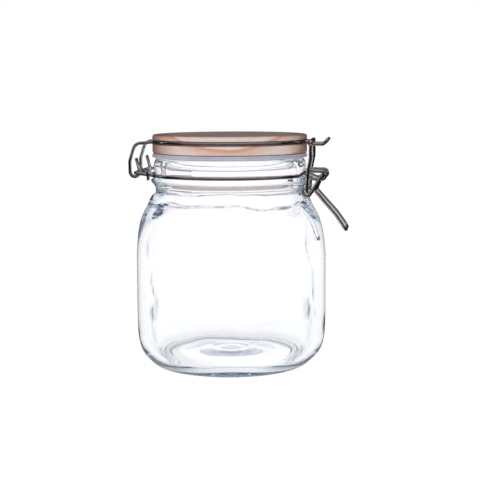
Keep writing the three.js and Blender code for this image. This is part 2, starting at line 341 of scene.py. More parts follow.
def outer_profile(sizes):
    """(r, z) from the middle of the base out over the foot, up the side, over the shoulder and
    up the neck to the rim."""
    half, rim, foot = sizes.half_width / MM, sizes.rim_height / MM, FOOT_RADIUS
    base = [
        (0.02, PUSH_UP),
        (0.22 * foot, 0.99 * PUSH_UP),
        (0.24 * foot, 0.95 * PUSH_UP),
        (0.4 * foot, 0.9 * PUSH_UP),
        (DOME_RADIUS - 6, 0.72 * PUSH_UP),
        (DOME_RADIUS - 1, 0.42 * PUSH_UP),
        (DOME_RADIUS + 1.5, 0.3 * PUSH_UP),
        (foot - FOOT_WIDTH - 3.6, 1.2),
        (foot - FOOT_WIDTH - 0.9, 0.9),
        (foot - FOOT_WIDTH, 0.0),
        (foot - 0.5 * FOOT_WIDTH, 0.0),
        (foot, 0.0),
        (foot + 1.5, 0.3),
        (foot + 2.2, 1.1),
        (foot + 2.3, 1.45),
        (foot + 2.45, 1.5),
    ]
    side = smooth_curve(
        [
            (foot + 3.2, 1.3),
            (half - 6.9, 3.9),
            (half - 2.7, 11.2),
            (half - 0.6, 21.3),
            (half, FOOT_CURVE_HEIGHT),
        ],
        6,
    )
    straight = np.column_stack([np.full(5, half), np.linspace(FOOT_CURVE_HEIGHT + 6, 65, 5)])
    shoulder = smooth_curve(
        [
            (half, SHOULDER_START),
            (half - 0.9, 83.7),
            (half - 2.4, 91.1),
            (half - 6, 98.5),
            (NECK_RADIUS + 2.9, 103.5),
            (NECK_RADIUS, NECK_BOTTOM),
        ],
        5,
    )
    neck = [
        (NECK_RADIUS, 109.6),
        (NECK_RADIUS + 1.4, 111.8),
        (BEAD[0], BEAD[1] - 1),
        (BEAD[0], BEAD[1] + 0.4),
        (GROOVE[0] + 0.2, GROOVE[1] - 1.4),
        GROOVE,
        (GROOVE[0] + 0.1, GROOVE[1] + 1.5),
        (COLLAR_RADIUS, rim - 5.5),
        (COLLAR_RADIUS - 0.5, rim - 2.6),
        (RIM_RADIUS, rim - 0.4),
        (RIM_RADIUS - 1, rim),
    ]
    return np.vstack([base, side, straight, shoulder, neck])


def inner_profile(sizes):
    """(r, z) from the rim down the mouth, under the shoulder, down the wall and in over the
    base to its middle."""
    half, rim, wall = sizes.half_width / MM, sizes.rim_height / MM, sizes.wall / MM
    base = sizes.base_thickness / MM
    neck_wall = NECK_RADIUS - MOUTH_RADIUS
    mouth = [
        (MOUTH_RADIUS + 0.9, rim),
        (MOUTH_RADIUS, rim - 1.2),
        (MOUTH_RADIUS, 118.0),
        (MOUTH_RADIUS, NECK_BOTTOM + 1),
    ]
    shoulder = smooth_curve(
        [
            (NECK_RADIUS + 2.9 - neck_wall, 102),
            (half - 6 - wall, 96.4),
            (half - 2.6 - wall, 88.6),
            (half - wall, SHOULDER_START),
        ],
        7,
    )
    straight = np.column_stack(
        [np.full(5, half - wall), np.linspace(65, FOOT_CURVE_HEIGHT + 6, 5)]
    )
    corner = smooth_curve(
        [
            (half - wall, FOOT_CURVE_HEIGHT),
            (half - 1.9 - wall, 19),
            (half - 6 - wall, base + 4.5),
            (half - 11 - wall, base + 0.6),
        ],
        7,
    )
    floor = [
        (0.72 * half, base),
        (DOME_RADIUS + 3, base),
        (DOME_RADIUS + 0.5, base + 0.08 * PUSH_UP),
        (DOME_RADIUS - 3, base + 0.36 * PUSH_UP),
        (DOME_RADIUS - 9, base + 0.74 * PUSH_UP),
        (0.4 * DOME_RADIUS, base + 0.93 * PUSH_UP),
        (0.02, base + PUSH_UP),
    ]
    return np.vstack([mouth, shoulder, straight, corner, floor])


def squared(rows, squareness):
    """Rows of a turned shape pushed out from circles to superellipses.

    Each point moves along its radius by (|cos a|^n + |sin a|^n)^(-1/n). n is 2 at the foot and
    at the neck, where the jar is round, and rises smoothly to the squareness between them.
    """
    x, y, z = rows[..., 0], rows[..., 1], rows[..., 2]
    rising = smoothstep(z, 0, 0.7 * FOOT_CURVE_HEIGHT)
    falling = 1 - smoothstep(z, SHOULDER_START, NECK_BOTTOM - 1.5)
    n = 2 + (squareness - 2) * rising * falling
    radius = np.hypot(x, y)
    stretch = (np.abs(x / radius) ** n + np.abs(y / radius) ** n) ** (-1 / n)
    return np.stack([x * stretch, y * stretch, z], -1)


def uneven(rows, depth):
    """The inside of a blown wall: the radius gains depth times a sum of five sine waves round
    and up the wall, with more of it under the shoulder; it fades out in the mouth and over the
    base. A soft ridge, 8 depths deep, runs round under the neck at a height that wanders."""
    x, y, z = rows[..., 0], rows[..., 1], rows[..., 2]
    radius, a = np.hypot(x, y), np.arctan2(y, x)
    wave = (
        1.0 * np.sin(2 * a + 0.050 * z + 0.4)
        + 0.8 * np.sin(5 * a - 0.085 * z + 1.9)
        + 0.6 * np.sin(7 * a + 0.130 * z + 4.1)
        + 0.5 * np.sin(11 * a - 0.210 * z + 2.6)
        + 0.3 * np.sin(17 * a + 0.330 * z + 5.2)
    )
    shoulder = 1 + 3.0 * np.exp(-(((z - 97) / 6) ** 2))
    fade = (1 - smoothstep(z, 104, 112)) * smoothstep(z, 12, 40)
    crest = 100.5 + 1.2 * np.sin(3 * a + 1) + 0.6 * np.sin(7 * a) + 0.4 * np.sin(13 * a + 2)
    ridge = RIDGE_DEPTHS * np.exp(-(((z - crest) / 1.5) ** 2))
    gain = 1 + depth * (wave * shoulder * fade - ridge) / radius
    return np.stack([x * gain, y * gain, z], -1)


def knurled(rows, count):
    """The bearing ring of the foot, cut by shallow hollows: between the inner and the outer edge
    of the ring the height gains depth (1 - cos(count a)) / 2."""
    x, y, z = rows[..., 0], rows[..., 1], rows[..., 2]
    radius, a = np.hypot(x, y), np.arctan2(y, x)
    on_ring = smoothstep(radius, FOOT_RADIUS - FOOT_WIDTH - 0.3, FOOT_RADIUS - FOOT_WIDTH + 0.5)
    on_ring = on_ring * (1 - smoothstep(radius, FOOT_RADIUS + 0.2, FOOT_RADIUS + 2.2))
    low = 1 - smoothstep(z, 0.5, 1.5)
    hollow = KNURL_DEPTH * (1 - np.cos(count * a)) / 2
    return np.stack([x, y, z + hollow * on_ring * low], -1)


def jar_surface(sizes, sides):
    """The whole jar as one closed skin: the turned outside and the turned inside, squared, with
    the foot knurled and the inside made uneven."""
    outside = soften(outer_profile(sizes), 1)
    inside = soften(inner_profile(sizes), 1)
    profile = np.vstack([outside, inside])
    outer_rows = knurled(squared(turned_rows(outside, sides), sizes.squareness), sizes.knurls)
    inner_rows = squared(turned_rows(inside, sides), sizes.squareness)
    rows = np.concatenate([outer_rows, uneven(inner_rows, sizes.ripple / MM)])
    return closed_surface(
        "jar_glass",
        on_axis(rows),
        length_along(profile * MM),
        on_axis([0, 0, outside[0, 1]]),
        on_axis([0, 0, inside[-1, 1]]),
    )


# ---------------------------------------------------------------- lid and seal

LID_GROOVE_ABOVE = 6.7  # the lid wire's channel, above the disc's underside
PLUG_DEPTH = 3.9
LID_RING_INSET = 0.5  # of the lid wire's centreline, from the disc's edge


def lid_surface(sizes, wire_radius):
    """A turned disc: a plug under it, a chamfered lower edge, a round channel for the wire and a
    rounded upper edge."""
    radius, plug, rounding = sizes.radius / MM, sizes.plug_radius / MM, sizes.top_round / MM
    bottom, top = lid_low.z / MM, lid_high.z / MM
    under = bottom + PLUG_DEPTH
    channel = wire_radius / MM + 0.5
    lip = math.degrees(math.acos(LID_RING_INSET / channel))
    profile = np.vstack(
        [
            [(0.02, bottom), (0.5 * plug, bottom), (plug - 1.2, bottom), (plug - 0.5, bottom)],
            [(plug - 0.15, bottom + 0.15), (plug, bottom + 0.5), (plug, under - 0.3)],
            [(plug + 0.05, under), (plug + 0.6, under), (radius - 1.3, under)],
            arc(radius - 0.8, under + 0.8, 0.8, -90, 0, 5),
            [(radius, under + 2.5), (radius, under + LID_GROOVE_ABOVE - channel - 0.25)],
            arc(radius - LID_RING_INSET, under + LID_GROOVE_ABOVE, channel, -lip, lip - 360, 16),
            [(radius, under + LID_GROOVE_ABOVE + channel + 0.25)],
            arc(radius - rounding, top - rounding, rounding, 0, 90, 7),
            [(radius - rounding - 0.3, top), (radius - rounding - 1.2, top)],
            [(0.66 * radius, top), (0.33 * radius, top), (0.02, top)],
        ]
    )
    return closed_surface(
        "lid_wood",
        on_axis(turned_rows(profile, TURNED_SIDES)),
        length_along(profile * MM),
        on_axis([0, 0, bottom]),
        on_axis([0, 0, top]),
    )


def seal_surface(sizes):
    """A turned ring: flat faces, a small bead round the lower edge and a step above it."""
    inner, outer = sizes.plug_radius / MM + 0.3, (seal_high.x - seal_low.x) / 2 / MM
    low, high = seal_low.z / MM, seal_high.z / MM
    profile = np.vstack(
        [
            [(inner + 0.3, low), (0.5 * (inner + outer), low), (outer - 1.3, low)],
            arc(outer - 0.75, low + 0.85, 0.75, -70, 60, 8),
            [(outer - 0.5, low + 1.62), (outer - 0.5, high - 0.55)],
            arc(outer - 0.9, high - 0.4, 0.4, 0, 90, 4),
            [(0.5 * (inner + outer), high), (inner + 0.3, high)],
            [(inner + 0.08, high - 0.1), (inner, high - 0.4)],
            [(inner, low + 0.4), (inner + 0.08, low + 0.1)],
        ]
    )
    rows = on_axis(turned_rows(profile, TURNED_SIDES))
    return closed_surface("seal_ring", rows, length_along(profile * MM))


# ---------------------------------------------------------------- bent wires

NECK_RING = 47.5  # radius of the ring that clasps the neck
LID_RING = 46.6  # radius of the ring round the lid
LID_RING_Z = 137.2
HINGE = (-55.2, 118.8)  # (x, z) of the bar that the lid turns on
HINGE_HALF = 20.0
PIVOT = (56.7, 117.2)  # (x, z) of the lever's pivot
EYE_Y, EYE_RADIUS = 11.9, 2.4
CRANK_Y = 14.2
HANDLE_Y, HANDLE_END_Y = 9.5, 12.0
LINK_RING = (47.9, 107.0)  # (x, z) of the lever's rings
LINK_RING_RADIUS = 2.4
LINK_Y = 16.5
LINK_BAR = (50.4, 137.9)
LID_ARM_Y = 16.5
END_ROUNDING = ((0.0, 0.62), (0.12, 0.8), (0.22, 0.93), (0.35, 1.0))  # (inset, share)
TONGUE_Y = 7.8
LEVER_TIP = (71.4, 84.5)
BEND_STEP = math.radians(9)
WIRE_GAP = 0.3  # between wires that lie on each other


def ring_route(radius, z, start, end):
    """Level ring: (radius cos a, radius sin a, z, 0) every 3 degrees or less."""
    steps = math.ceil(abs(end - start) / 3)
    a = np.radians(np.linspace(start, end, steps + 1))
    return np.column_stack([radius * np.cos(a), radius * np.sin(a), z + 0 * a, 0 * a])


def hook_route(centre, radius, y, start, end):
    """Upright hook in the plane at y: centre + radius (cos a, sin a) in x and z."""
    steps = math.ceil(abs(end - start) / 10)
    curve = arc(*centre, radius, start, end, steps)
    return np.column_stack([curve[:, 0], y + 0 * curve[:, 0], curve[:, 1], 0 * curve[:, 0]])


def mirrored(route):
    """The route reflected to the other side and run backwards."""
    return route[::-1] * np.array([1, -1, 1, 1])


def bend(route):
    """The centreline of a wire bent at each corner (x, y, z, radius).

    A corner with a radius gives way to the arc of that radius which touches both legs: its
    middle lies on the halving line, radius / cos(half the turn) from the corner. Its points are
    middle + cos(t) first + sin(t) along, for t from 0 to the turn.
    """
    stations = []
    for i, corner in enumerate(route):
        at, radius = corner[:3], corner[3]
        if radius == 0 or i in (0, len(route) - 1):
            stations.append(at[None])
            continue
        back, ahead = route[i - 1][:3] - at, route[i + 1][:3] - at
        back, ahead = back / np.linalg.norm(back), ahead / np.linalg.norm(ahead)
        turn = math.pi - math.acos(np.clip(back @ ahead, -1, 1))
        halving = (back + ahead) / np.linalg.norm(back + ahead)
        middle = at + halving * radius / math.cos(turn / 2)
        first = at + back * radius * math.tan(turn / 2) - middle
        t = np.linspace(0, turn, max(2, math.ceil(turn / BEND_STEP) + 1))[:, None]
        stations.append(middle + np.cos(t) * first - np.sin(t) * back * radius)
    chain = np.vstack(stations)
    kept = np.concatenate([[True], np.linalg.norm(np.diff(chain, axis=0), axis=1) > 1e-4])
    return chain[kept]


def least_turn_frames(path):
    """A pair of axes across the path at each station. The tangent is the sum of the directions
    to both neighbours, and the pair is carried from station to station with the least turn."""
    legs = np.diff(path, axis=0)
    legs /= np.linalg.norm(legs, axis=1)[:, None]
    tangent = np.vstack([legs[:1], legs[:-1] + legs[1:], legs[-1:]])
    tangent /= np.linalg.norm(tangent, axis=1)[:, None]
    start = np.cross(tangent[0], [0.31, 0.52, 0.79])
    across = [start / np.linalg.norm(start)]
    for t in tangent[1:]:
        side = across[-1] - t * (across[-1] @ t)
        across.append(side / np.linalg.norm(side))
    across = np.array(across)
    return tangent, across, np.cross(tangent, across)


def wire_surface(name, route, sizes):
    """A round wire: the circle radius (cos a, sin a), in the axes across the path, carried along
    the path. Each end is cut off flat with a rounded edge."""
    radius, sides = sizes.radius / MM, sizes.sides
    path = bend(route)
    tangent, across, other = least_turn_frames(path)
    inset, share = np.array(END_ROUNDING).T
    first = path[0] + tangent[0] * (inset[:, None] - inset[-1])
    last = path[-1] - tangent[-1] * (inset[::-1, None] - inset[-1])
    centres = np.vstack([first, path[1:-1], last])
    extent = np.concatenate([share, np.ones(len(path) - 2), share[::-1]]) * radius
    times = np.ones(len(path), int)
    times[[0, -1]] = len(inset)
    n, b = np.repeat(across, times, 0)[:, None], np.repeat(other, times, 0)[:, None]
    a = np.linspace(0, 2 * np.pi, sides, endpoint=False)[None, :, None]
    rows = centres[:, None] + extent[:, None, None] * (np.cos(a) * n + np.sin(a) * b)
    c, s = math.cos(CAGE_TURN), math.sin(CAGE_TURN)
    turn = np.array([[c, s, 0], [-s, c, 0], [0, 0, 1]])
    along = length_along(centres) * MM
    return closed_surface(
        name, on_axis(rows @ turn), along, on_axis(first[0] @ turn), on_axis(last[-1] @ turn)
    )


def neck_route(wire):
    """From the hook that closes the ring, round the back and the far side, through the two eyes
    of the lever, back along the near side, over the hinge bar and on to the top of the ring."""
    r, z, half = NECK_RING, GROOVE[1], HINGE_HALF
    lift = 2 * wire + 1.5 * WIRE_GAP
    clasp = np.array(
        [
            (1.2 - r, -half - lift, z - 2.4, 0),
            (0.8 - r, -half - lift, z + 4.4, 2.1),
            (0.9 - r, -half + 2.4, z + 4.4, 2.1),
            (0.5 - r, -12.4, z, 3),
        ]
    )
    eye = np.vstack(
        [
            [(r - 0.5, EYE_Y, z + EYE_RADIUS, 2.2)],
            hook_route(PIVOT, EYE_RADIUS, EYE_Y, 90, -90),
            [(PIVOT[0] - 4.3, EYE_Y, z - EYE_RADIUS, 4), (r - 0.6, EYE_Y - 0.4, z, 1.8)],
        ]
    )
    tongue = np.array(
        [
            (4.2 - r, -half, z, 2.5),
            (HINGE[0], -half, HINGE[1], 2.2),
            (HINGE[0], half, HINGE[1], 2.2),
            (2.3 - r, half, z + lift + 0.2, 2.5),
        ]
    )
    return np.vstack(
        [
            clasp,
            ring_route(r, z, 189, 23),
            eye,
            ring_route(r, z, 9, -9),
            mirrored(eye),
            ring_route(r, z, -23, -147),
            tongue,
            ring_route(r + 0.5, z + lift, 147, 132),
        ]
    )


def lid_route(wire):
    """From one hook on the hinge bar up its arm, round the lid, out along the front tongue and
    back to the other hook."""
    hook = (HINGE[0] - 0.45, HINGE[1] + 0.5)
    r, z, y = LID_RING, LID_RING_Z, -LID_ARM_Y
    low = LINK_BAR[1] - 2 * wire - WIRE_GAP
    half = np.vstack(
        [
            [(HINGE[0] + 0.4, y, HINGE[1] + 8.5, 0)],
            hook_route(hook, 3, y, 0, -180),
            [(HINGE[0] - 3.6, y, HINGE[1] + 7, 6), (HINGE[0] - 0.2, y, z - 0.9, 5)],
            [(-0.9 - r, y, z - 0.3, 6), (2.7 - r, y, z, 2.4)],
            ring_route(r, z, 208, 343),
            [(r - 0.4, -TONGUE_Y, z, 1.2), (r + 1.4, -TONGUE_Y, z, 1)],
            [(r + 2.7, -TONGUE_Y, low, 1), (r + 11, -TONGUE_Y, low, 2.4)],
            [(r + 13.5, -TONGUE_Y, low + 2.9, 1.6)],
        ]
    )
    return np.vstack([half, mirrored(half)])


def lever_route():
    """A ring for the link, the crank up to the pivot, one side of the handle, and the same
    again on the other side."""
    dx, dz = PIVOT[0] - LINK_RING[0], PIVOT[1] - LINK_RING[1]
    tangent = math.degrees(math.atan2(dz, dx) - math.acos(LINK_RING_RADIUS / math.hypot(dx, dz)))
    half = np.vstack(
        [
            hook_route(LINK_RING, LINK_RING_RADIUS, -CRANK_Y, tangent - 270, tangent),
            [(PIVOT[0], -CRANK_Y, PIVOT[1], 1.2), (PIVOT[0], -HANDLE_Y, PIVOT[1], 1.2)],
            [(PIVOT[0] - 4.2, -HANDLE_Y, PIVOT[1] - 9.4, 2.6)],
            [(PIVOT[0] + 8.6, -HANDLE_Y - 1.4, PIVOT[1] - 23.9, 12)],
            [(LEVER_TIP[0], -HANDLE_END_Y, LEVER_TIP[1], 3)],
        ]
    )
    return np.vstack([half, mirrored(half)])


def link_route():
    """From inside one ring out and up to the bar over the tongue, and down to the other ring."""
    half = np.array(
        [
            (LINK_RING[0], -CRANK_Y + 1.8, LINK_RING[1], 0),
            (LINK_RING[0], -LINK_Y, LINK_RING[1], 1.3),
            (LINK_RING[0] + 1.1, -LINK_Y, GROOVE[1] + 4, 8),
            (LINK_BAR[0], -LINK_Y, GROOVE[1] + 10.5, 8),
            (LINK_BAR[0], -LINK_Y, LINK_BAR[1], 2.6),
        ]
    )
    return np.vstack([half, mirrored(half)])


# ---------------------------------------------------------------- materials


CLEAR_GLASS = (0.99, 0.988, 0.996, 1.0)
# painted shade for the bottom of the heel, where the jar meets the floor
SHADED_GLASS_HEEL = (0.72, 0.73, 0.74, 1.0)
SMUDGED_GLASS = (0.965, 0.965, 0.98, 1.0)
END_GRAIN = (0.40, 0.22, 0.15, 1.0)
WARM_STEEL = (0.36, 0.27, 0.21, 1.0)


class Graph:
    """A node tree with one short call for adding a node and joining or setting its inputs."""

    def __init__(self, tree):
        self.tree = tree

    def add(self, kind, inputs=None, **settings):
        node = self.tree.nodes.new(kind)
        for key, value in settings.items():
            setattr(node, key, value)
        for key, value in (inputs or {}).items():
            socket = node.inputs[key]
            if isinstance(value, bpy.types.NodeSocket):
                self.tree.links.new(value, socket)
            else:
                socket.default_value = value
        return node

    def math(self, operation, first, second=0.0, clamp=False):
        node = self.add("ShaderNodeMath", {0: first, 1: second}, operation=operation)
        node.use_clamp = clamp
        return node.outputs[0]

    def spread(self, value, low, high, to_low=0.0, to_high=1.0):
        sockets = {"Value": value, "From Min": low, "From Max": high}
        sockets.update({"To Min": to_low, "To Max": to_high})
        return self.add("ShaderNodeMapRange", sockets, interpolation_type="SMOOTHSTEP").outputs[0]

    def between(self, share, first, second):
        return self.add("ShaderNodeMix", {0: share, 2: first, 3: second}).outputs[0]

    def blend(self, share, first, second):
        sockets = {0: share, 6: first, 7: second}  # the factor and the two colours
        return self.add("ShaderNodeMix", sockets, data_type="RGBA").outputs[2]


def new_material(name):
    """An empty material with a Principled BSDF on its surface."""
    material = bpy.data.materials.new(name)
    material.use_nodes = True
    material.node_tree.nodes.clear()
    graph = Graph(material.node_tree)
    shader = graph.add("ShaderNodeBsdfPrincipled")
    output = graph.add("ShaderNodeOutputMaterial", {"Surface": shader.outputs[0]})
    return material, graph, shader, output


def opaque(colour, share=1.0):
    return (*(channel * share for channel in colour), 1.0)


def join(graph, shader, colour, rough, bump):
    """A shader's colour, roughness and normal, joined to what was worked out for them."""
    sockets = {"Base Color": colour, "Roughness": rough, "Normal": bump.outputs[0]}
    for name, value in sockets.items():
        graph.tree.links.new(value, shader.inputs[name])


def handling_marks():
    """Node group: soft smudges and fine specks, read from object coordinates."""
    name = "Handling marks"
    if name in bpy.data.node_groups:
        return bpy.data.node_groups[name]
    tree = bpy.data.node_groups.new(name, "ShaderNodeTree")
    tree.interface.new_socket("Vector", in_out="INPUT", socket_type="NodeSocketVector")
    scale = tree.interface.new_socket("Scale", in_out="INPUT", socket_type="NodeSocketFloat")
    scale.default_value = 60.0
    tree.interface.new_socket("Smudges", in_out="OUTPUT", socket_type="NodeSocketFloat")
    tree.interface.new_socket("Specks", in_out="OUTPUT", socket_type="NodeSocketFloat")
    graph = Graph(tree)
    given = graph.add("NodeGroupInput")
    broad = graph.add(
        "ShaderNodeTexNoise",
        {"Vector": given.outputs["Vector"], "Scale": given.outputs["Scale"], "Detail": 3.0},
    )
    finer = graph.math("MULTIPLY", given.outputs["Scale"], 22.0)
    fine = graph.add(
        "ShaderNodeTexNoise", {"Vector": given.outputs["Vector"], "Scale": finer, "Detail": 1.0}
    )
    smudges = graph.spread(broad.outputs["Fac"], 0.38, 0.68)
    specks = graph.spread(fine.outputs["Fac"], 0.55, 0.75)
    graph.add("NodeGroupOutput", {"Smudges": smudges, "Specks": specks})
    return tree


def place_marks(graph, vector, scale):
    """The handling marks in a material, with its own scale."""
    sockets = {"Vector": vector, "Scale": scale}
    node = graph.add("ShaderNodeGroup", sockets, node_tree=handling_marks())
    return node.outputs["Smudges"], node.outputs["Specks"]


def glass_material(finishes):
    """Clear pressed glass: absorbing where it is thick, with painted shade greying the heel low
    down where it meets the floor, a faint ripple and a few smudges."""
    material, graph, shader, output = new_material("clear pressed glass")
    place = graph.add("ShaderNodeTexCoord").outputs["Object"]
    smudges, specks = place_marks(graph, place, 45.0)
    axes = graph.add("ShaderNodeSeparateXYZ", {0: place})
    flat = graph.add("ShaderNodeVectorMath", {0: place, 1: (1.0, 1.0, 0.0)}, operation="MULTIPLY")
    radius = graph.add("ShaderNodeVectorMath", {0: flat.outputs[0]}, operation="LENGTH")
    # painted shade: the base colour greys towards the bottom of the heel, low down and near the
    # edge
    heel_shade = graph.spread(axes.outputs["Z"], 0.003, 0.008, 1.0, 0.0)
    heel = graph.spread(radius.outputs["Value"], 0.036, 0.041)
    heel_shade = graph.math("MULTIPLY", heel_shade, heel)
    with_heel_shade = graph.blend(heel_shade, CLEAR_GLASS, SHADED_GLASS_HEEL)
    colour = graph.blend(graph.math("MULTIPLY", smudges, 0.25), with_heel_shade, SMUDGED_GLASS)
    rough = graph.math("MULTIPLY", graph.math("MULTIPLY", smudges, specks), 0.05)
    ripple = graph.add(
        "ShaderNodeTexNoise", {"Vector": place, "Scale": 38.0, "Detail": 2.0, "Distortion": 0.4}
    )
    bump = graph.add(
        "ShaderNodeBump", {"Height": ripple.outputs["Fac"], "Strength": 0.25, "Distance": 0.0004}
    )
    join(graph, shader, colour, rough, bump)
    shader.inputs["Metallic"].default_value = 0.0
    shader.inputs["Transmission Weight"].default_value = 1.0
    shader.inputs["IOR"].default_value = 1.5
    absorption = graph.add(
        "ShaderNodeVolumeAbsorption", {"Color": opaque(finishes.glass_tint), "Density": 12.0}
    )
    graph.tree.links.new(absorption.outputs[0], output.inputs["Volume"])
    return material


def pine_material(finishes):
    """Oiled pine: growth rings about a far pith, resin flecks, long fibres and darker end grain
    along the rim."""
    material, graph, shader, _ = new_material("oiled pine")
    place = graph.add("ShaderNodeTexCoord").outputs["Object"]
    smudges, specks = place_marks(graph, place, 55.0)
    board = graph.add(
        "ShaderNodeMapping",
        {
            "Vector": place,
            "Location": (0.02, 0.012, -0.085),
            "Rotation": (0.0, math.radians(3.0), math.radians(4.0)),
            "Scale": (0.45, 1.0, 1.0),
        },
    ).outputs[0]
    rings = graph.add(
        "ShaderNodeTexWave",
        {
            "Vector": board,
            "Scale": 26.0,
            "Distortion": 1.6,
            "Detail": 2.0,
            "Detail Scale": 0.9,
            "Detail Roughness": 0.45,
        },
        wave_type="RINGS",
        rings_direction="X",
        wave_profile="SAW",
    ).outputs["Fac"]
    ramp = graph.add("ShaderNodeValToRGB", {"Fac": rings})
    stops = ramp.color_ramp.elements
    early, late = finishes.early_wood, finishes.late_wood
    stops[0].position, stops[0].color = 0.0, opaque(early)
    stops[1].position, stops[1].color = 1.0, opaque(early, 0.96)
    middle = [0.5 * (pale + dark) for pale, dark in zip(early, late)]
    stops.new(0.55).color = opaque(early, 0.97)
    stops.new(0.82).color = opaque(middle)
    stops.new(0.93).color = opaque(late)
    fibre_place = graph.add(
        "ShaderNodeMapping", {"Vector": place, "Scale": (60.0, 1500.0, 1500.0)}
    ).outputs[0]
    fibres = graph.add("ShaderNodeTexNoise", {"Vector": fibre_place, "Scale": 1.0, "Detail": 3.0})
    fibres = fibres.outputs["Fac"]
    fibre_share = graph.spread(fibres, 0.35, 0.75, 0.0, 0.35)
    colour = graph.blend(fibre_share, ramp.outputs["Color"], opaque(late, 1.1))
    colour = graph.blend(graph.math("MULTIPLY", smudges, 0.18), colour, opaque(middle))
    colour = graph.blend(graph.math("MULTIPLY", specks, 0.25), colour, opaque(late, 0.9))
    axes = graph.add("ShaderNodeSeparateXYZ", {0: place})
    sideways = graph.math("ABSOLUTE", graph.math("SUBTRACT", axes.outputs["X"], AXIS_X))
    end_grain = graph.spread(sideways, 0.030, 0.047, 0.0, 1.0)
    colour = graph.blend(end_grain, colour, END_GRAIN)
    rough = graph.spread(fibres, 0.3, 0.8, 0.42, 0.62)
    height = graph.math("ADD", fibres, graph.math("MULTIPLY", rings, -0.35))
    bump = graph.add("ShaderNodeBump", {"Height": height, "Strength": 0.35, "Distance": 0.0003})
    join(graph, shader, colour, rough, bump)
    shader.inputs["Specular IOR Level"].default_value = 0.35
    shader.inputs["Coat Weight"].default_value = 1.0
    shader.inputs["Coat Roughness"].default_value = 0.25
    return material


def silicone_material(finishes):
    """Milky grey silicone: slightly cloudy, satin, with a fine moulded grain."""
    material, graph, shader, _ = new_material("milky silicone")
    place = graph.add("ShaderNodeTexCoord").outputs["Object"]
    smudges, specks = place_marks(graph, place, 90.0)
    colour = graph.blend(smudges, opaque(finishes.silicone, 0.94), opaque(finishes.silicone, 1.05))
    bright = opaque(finishes.silicone, 1.3)
    colour = graph.blend(graph.math("MULTIPLY", specks, 0.2), colour, bright)
    rough = graph.spread(smudges, 0.0, 1.0, 0.34, 0.5)
    bump = graph.add("ShaderNodeBump", {"Height": specks, "Strength": 0.2, "Distance": 0.0001})
    join(graph, shader, colour, rough, bump)
    shader.inputs["Subsurface Weight"].default_value = 0.15
    shader.inputs["Subsurface Scale"].default_value = 0.002
    return material


def steel_material(finishes):
    """Bright drawn steel wire: fine lines along its length, faint dull patches."""
    material, graph, shader, _ = new_material("bright drawn wire")
    coordinates = graph.add("ShaderNodeTexCoord")
    smudges, specks = place_marks(graph, coordinates.outputs["Object"], 120.0)
    drawn = graph.add(
        "ShaderNodeMapping", {"Vector": coordinates.outputs["UV"], "Scale": (26.0, 90.0, 1.0)}
    ).outputs[0]
    lines = graph.add("ShaderNodeTexNoise", {"Vector": drawn, "Scale": 1.0, "Detail": 4.0})
    lines = lines.outputs["Fac"]
    colour = graph.blend(graph.math("MULTIPLY", smudges, 0.35), opaque(finishes.steel), WARM_STEEL)
    colour = graph.blend(graph.math("MULTIPLY", specks, 0.3), colour, opaque(finishes.steel, 0.7))
    rough = graph.spread(lines, 0.3, 0.7, 0.05, 0.14)
    bump = graph.add("ShaderNodeBump", {"Height": lines, "Strength": 0.12, "Distance": 0.00005})
    join(graph, shader, colour, rough, bump)
    shader.inputs["Metallic"].default_value = 1.0
    return material


def finish_piece(piece, material, body, node):
    """A piece gets its material, rides on its body and stands for its node."""
    piece.data.materials.append(material)
    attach(piece, body)
    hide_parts(node)


# ---------------------------------------------------------------- stage


WHITE = (1.0, 1.0, 1.0, 1.0)
BEHIND_GLASS = (1.2, 1.15, 1.155, 1.0)  # makes up for what the walls absorb
DEEP_IN_GLASS = (0.42, 0.46, 0.56, 1.0)
DARK_ROOM = (0.03, 0.028, 0.042, 1.0)
CEILING = (0.95, 0.93, 1.05, 1.0)
WINDOW = (0.75, 0.73, 0.76, 1.0)
SOFT_LOW = (0.85, 0.85, 0.87, 1.0)
SOFT_OVERHEAD = (0.22, 0.22, 0.24, 1.0)
SOFTBOXES = (  # name, place, width, height, watts, whether it is mirrored
    ("front", (-0.05, -1.0, 0.25), 0.22, 0.9, 2.9, False),
    ("key", (-0.75, -0.45, 0.55), 0.4, 0.4, 1.0, False),
    ("top", (0.1, 0.05, 1.0), 0.6, 0.6, 0.4, True),
    ("left_back_strip", (-0.9, 0.5, 0.3), 0.12, 0.8, 0.3, True),
    ("right_back_strip", (0.9, 0.5, 0.3), 0.12, 0.8, 0.3, True),
)
AIM_POINT = (0.0, 0.0, 0.08)  # where the softboxes face
CAMERA_TURN = math.radians(0.437)  # to the right of the jar's axis
CAMERA_PITCH = -0.1195
CAMERA_ROLL = math.radians(-0.26)


def reflected(graph, light):
    """1 for a ray that comes from a reflection and not through glass."""
    glossy, through_glass = light.outputs["Is Glossy Ray"], light.outputs["Is Transmission Ray"]
    return graph.math("SUBTRACT", glossy, through_glass, True)


